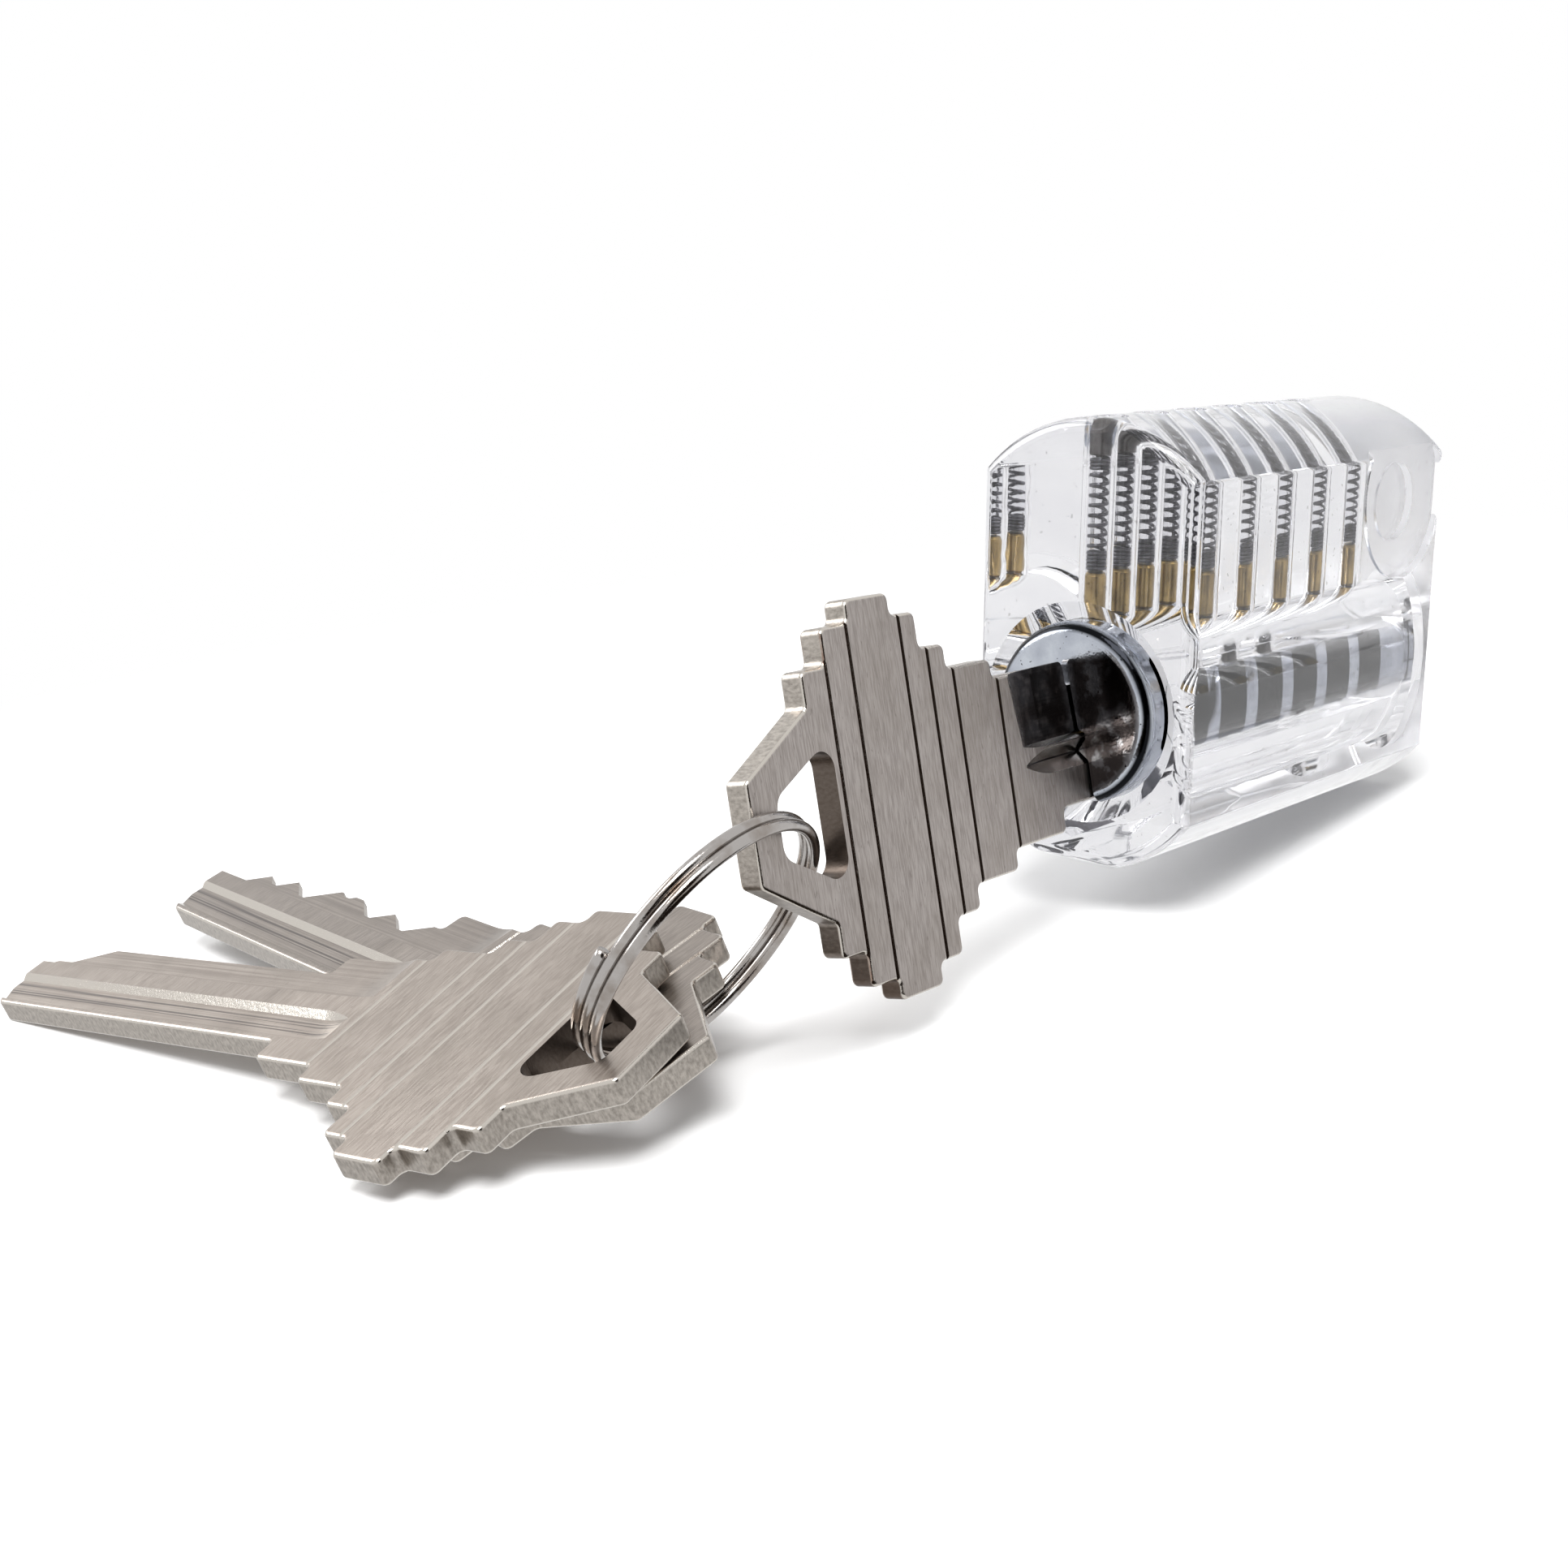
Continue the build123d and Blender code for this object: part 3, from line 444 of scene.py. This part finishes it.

    # Scored lines: dark grime on the key in the lock, a painted highlight along them on the loose keys
    score_lines_grime_and_highlight = 0.0
    for score in SCORES:
        line = add(key, "Math", {0: y, 1: score, 2: SCORE_HALF}, operation="COMPARE")
        score_lines_grime_and_highlight = add(key, "Math", {0: score_lines_grime_and_highlight, 1: line}, operation="MAXIMUM")
    at_face = add(key, "MapRange", {
        0: depth, 1: HALF_KEY - 1.5 * SCORE_DEPTH, 2: HALF_KEY - SCORE_DEPTH,
    })
    score_patches = grain(key, spot, (1, 1, 1.5), 3)
    patchy = add(key, "MapRange", {0: score_patches, 1: 0.3, 2: 0.5, 3: 0.5 * dirt_and_highlight_share, 4: dirt_and_highlight_share})
    score_lines_grime_and_highlight = add(key, "Math", {0: score_lines_grime_and_highlight, 1: at_face}, operation="MULTIPLY")
    score_lines_grime_and_highlight = add(key, "Math", {0: score_lines_grime_and_highlight, 1: patchy}, operation="MULTIPLY")
    tone = add(key, "Mix", {0: score_lines_grime_and_highlight, 6: tone, 7: linear(score_tone_grime_and_highlight)}, 2, data_type="RGBA")

    dull = add(key, "MapRange", {0: lines, 1: 0.3, 2: 0.7, 3: 0.3, 4: 0.4})
    edge_dull = add(key, "MapRange", {0: on_wall, 3: 0.14, 4: 0.34})
    dull = add(key, "Mix", {0: on_face, 2: edge_dull, 3: dull})
    dull = add(key, "Mix", {0: shade_reflection_and_grease, 2: dull, 3: 0.16})
    relief = add(key, "Mix", {0: on_face, 2: stamped, 3: lines})
    slope = add(key, "Bump", {"Height": relief, "Distance": 0.03 * MM, "Strength": 0.35})
    surface = add(key, "BsdfPrincipled", {
        "Base Color": tone, "Metallic": 1.0, "Roughness": dull, "Normal": slope,
    })
    add(key, "OutputMaterial", {"Surface": surface})
    return key


uncut_place = key_frame(mouth + UNCUT_AT, UNCUT_BLADE, UNCUT_SIDE)
cut_place = uncut_place @ Matrix.Translation(CUT_AT) @ Matrix.Rotation(CUT_SPREAD, 4, "X")
# The key in the lock gets dark grime in its scored lines; the loose keys' light score tone is a painted
# highlight
key_finish = {
    "inserted_key": nickel_silver(
        "nickel_silver_in_lock", upright_key, "#AEA7A3", "#938C88", "#8A7163", 0.9, 0.9),
    "uncut_key": nickel_silver(
        "nickel_silver_blank", uncut_place, "#AAA199", "#998F87", "#D5CEC5", 0.5, 0.1),
    "cut_key": nickel_silver(
        "nickel_silver_cut", cut_place, "#9E968F", "#8B837D", "#D5CEC5", 0.5, 0.1),
}
for name in frame["nodes"]:
    if "pin" in name and "spring" not in name:
        finish_node(name, brass)
    elif name in key_finish:
        finish_node(name, key_finish[name])
    elif "cap" in name:
        finish_node(name, cap_steel)
    elif name.startswith("spring") or name in ("split_ring", "retaining_clip"):
        finish_node(name, wire)

# Springs, each seated on its driver pin and pressed up by it
spring_length = CAP_BOTTOM - DRIVER_TOP - 2 * SPRING_PLAY
closed = (LOW_CLOSED_TURNS + HIGH_CLOSED_TURNS) * CLOSED_RISE
open_rise = (spring_length - SPRING_WIRE - closed) / OPEN_TURNS
coil = wound_wire(
    "coil", SPRING_RADIUS, SPRING_WIRE, WIRE_SIDES, SPRING_STEPS,
    [(LOW_CLOSED_TURNS, CLOSED_RISE), (OPEN_TURNS, open_rise), (HIGH_CLOSED_TURNS, CLOSED_RISE)],
)
for number, pin in enumerate(PIN_PLACES, start=1):
    seat = Matrix.Translation((pin.x, pin.y, DRIVER_TOP + SPRING_PLAY + SPRING_WIRE / 2))
    spring = place_piece(f"coil_{number}", coil, seat @ Matrix.Rotation(number, 4, "Z"), wire)
    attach(spring, "housing")
    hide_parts(f"spring_{number}")
    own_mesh(spring)

# Split ring, wound flat but for the jog where its turns change places
ring_outward = RING_AXIS.cross(Vector((0, 0, 1))).normalized()
ring_place = Matrix((ring_outward, RING_AXIS.cross(ring_outward), RING_AXIS)).transposed().to_4x4()
ring_place.translation = sum(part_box("split_ring"), Vector()) / 2
flat_turn = 1 - RING_JOG
jog = (RING_JOG, RING_PITCH / RING_JOG)
ring_coil = wound_wire(
    "ring_coil", RING_RADIUS, RING_WIRE, RING_SIDES, RING_STEPS,
    [(RING_LAP, 0), jog, (flat_turn, 0), jog, (flat_turn, 0)],
)
ring_turned = Matrix.Translation((0, 0, -1.5 * RING_PITCH)) @ Matrix.Rotation(RING_START, 4, "Z")
ring = place_piece("ring_wire", ring_coil, ring_place @ ring_turned, ring_plate)
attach(ring, "ring")
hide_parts("split_ring")

# Floor under the block's rear edge and the lying keys, which it tilts to meet
FLOOR_DROP = -2.03 * MM
FLOOR_SLOPE_X = 0.0765
FLOOR_SLOPE_Y = 0.109
FLOOR_HALF = 1.5
SHADOW_REACH = 0.085
WHITE_FROM = 0.15
floor_mesh = bpy.data.meshes.new("floor")
form = bmesh.new()
bmesh.ops.create_grid(form, x_segments=1, y_segments=1, size=FLOOR_HALF)
for corner in form.verts:
    corner.co.z = FLOOR_DROP + FLOOR_SLOPE_X * corner.co.x + FLOOR_SLOPE_Y * corner.co.y
form.to_mesh(floor_mesh)
form.free()
floor = bpy.data.objects.new("floor", floor_mesh)
bpy.context.scene.collection.objects.link(floor)
paper = new_material("white_paper")
ray = add(paper, "LightPath")
spot = add(paper, "TexCoord", output="Object")
lot_middle = sum(cad_box, Vector()) / 2
away = add(paper, "VectorMath", {0: spot, 1: lot_middle}, "Value", operation="DISTANCE")
far = add(paper, "MapRange", {0: away, 1: SHADOW_REACH, 2: WHITE_FROM}, interpolation_type="SMOOTHSTEP")
far = add(paper, "Math", {0: far, 1: ray}, operation="MULTIPLY")
seen = add(paper, "Math", {0: far, 1: ray.node.outputs["Is Glossy Ray"]}, operation="MAXIMUM")
seen = add(paper, "Math", {0: seen, 1: ray.node.outputs["Is Transmission Ray"]}, operation="MAXIMUM")
matt = add(paper, "BsdfDiffuse", {"Color": linear("#FAFAFA")})
white = add(paper, "Emission", {"Color": (1, 1, 1, 1), "Strength": 1.0})
paper_surface = add(paper, "MixShader", {0: seen, 1: matt, 2: white})
add(paper, "OutputMaterial", {"Surface": paper_surface})
floor_mesh.materials.append(paper)

# Dark backdrop round the camera: the unlit side of the room, seen in the metal only
DARK_NEAR = 0.022
DARK_FAR = 0.16
DARK_LOW = -0.004
DARK_TOP = 0.15
DARK_SIDES = (-0.016, 0.11)
CAMERA_AZIMUTH = math.radians(41.672)
CAMERA_ELEVATION = math.radians(13.73)
ahead = Vector((math.sin(CAMERA_AZIMUTH), -math.cos(CAMERA_AZIMUTH), 0))
beside = Vector((math.cos(CAMERA_AZIMUTH), math.sin(CAMERA_AZIMUTH), 0))
form = bmesh.new()
rows = []
for reach, rise in ((DARK_NEAR, DARK_LOW), (DARK_FAR, DARK_LOW), (DARK_FAR, DARK_TOP)):
    middle = mouth + ahead * reach
    middle.z = rise
    rows.append([form.verts.new(middle + beside * side) for side in DARK_SIDES])
for lower, upper in zip(rows, rows[1:]):
    form.faces.new((lower[0], lower[1], upper[1], upper[0]))
dark_mesh = bpy.data.meshes.new("dark_room")
form.to_mesh(dark_mesh)
form.free()
dark_room = bpy.data.objects.new("dark_room", dark_mesh)
bpy.context.scene.collection.objects.link(dark_room)
dark_room.visible_camera = False
dark_room.visible_diffuse = False
dark_room.visible_shadow = False
# Painted shade: a dark glowing sheet that stands for the unlit room
painted_room_shade = new_material("painted_room_shade")
add(painted_room_shade, "OutputMaterial", {
    "Surface": add(painted_room_shade, "Emission", {"Color": linear("#2B241F"), "Strength": 1.0}),
})
dark_mesh.materials.append(painted_room_shade)

# World: white behind the object, an even soft light on it
world = bpy.data.worlds.new("studio")
bpy.context.scene.world = world
world.use_nodes = True
world.node_tree.nodes.clear()
ray = add(world, "LightPath")
seen = add(world, "Math", {0: ray, 1: ray.node.outputs["Is Glossy Ray"]}, operation="MAXIMUM")
seen = add(world, "Math", {0: seen, 1: ray.node.outputs["Is Transmission Ray"]}, operation="MAXIMUM")
ambient = add(world, "Background", {"Color": (1, 1, 1, 1), "Strength": 0.6})
white = add(world, "Background", {"Color": (1, 1, 1, 1), "Strength": 1.0})
add(world, "OutputWorld", {"Surface": add(world, "MixShader", {0: seen, 1: ambient, 2: white})})

LAMP_AIM = Vector((0, -0.02, 0.01))


def softbox(name, place, size, watts):
    """An area lamp with a square face, aimed at the lock."""
    lamp = bpy.data.lights.new(name, "AREA")
    lamp.shape = "SQUARE"
    lamp.size = size
    lamp.energy = watts
    box = bpy.data.objects.new(name, lamp)
    box.location = place
    box.rotation_euler = (LAMP_AIM - Vector(place)).to_track_quat("-Z", "Y").to_euler()
    bpy.context.scene.collection.objects.link(box)


softbox("key_light", (0.1, -0.25, 0.4), 0.25, 2.2)
softbox("fill_light", (-0.4, -0.2, 0.25), 0.3, 1.4)

# Camera at the photograph's place, worked out from the block's and keys' corners
CAMERA_ROLL = math.radians(0.18)
CAMERA_DISTANCE = 178.912 * MM
CAMERA_AIM = Vector((-41.9, 18.389, -15.003)) * MM + mouth
SENSOR = 36.0
PHOTO_SIDE = 1932
FOCAL_PIXELS = 2558.9
back = ahead * math.cos(CAMERA_ELEVATION) + Vector((0, 0, math.sin(CAMERA_ELEVATION)))
lens = bpy.data.cameras.new("camera")
lens.sensor_width = SENSOR
lens.lens = FOCAL_PIXELS / PHOTO_SIDE * SENSOR
lens.clip_start, lens.clip_end = 0.005, 10
camera = bpy.data.objects.new("camera", lens)
camera.location = CAMERA_AIM + back * CAMERA_DISTANCE
turn = (-back).to_track_quat("-Z", "Y").to_matrix().to_4x4()
camera.rotation_euler = (turn @ Matrix.Rotation(CAMERA_ROLL, 4, "Z")).to_euler()
bpy.context.scene.collection.objects.link(camera)
bpy.context.scene.camera = camera
bpy.context.scene.view_settings.view_transform = "Standard"

# Light passes many walls of the clear block before it leaves
bpy.context.scene.cycles.max_bounces = 24
bpy.context.scene.cycles.glossy_bounces = 16
bpy.context.scene.cycles.transmission_bounces = 24
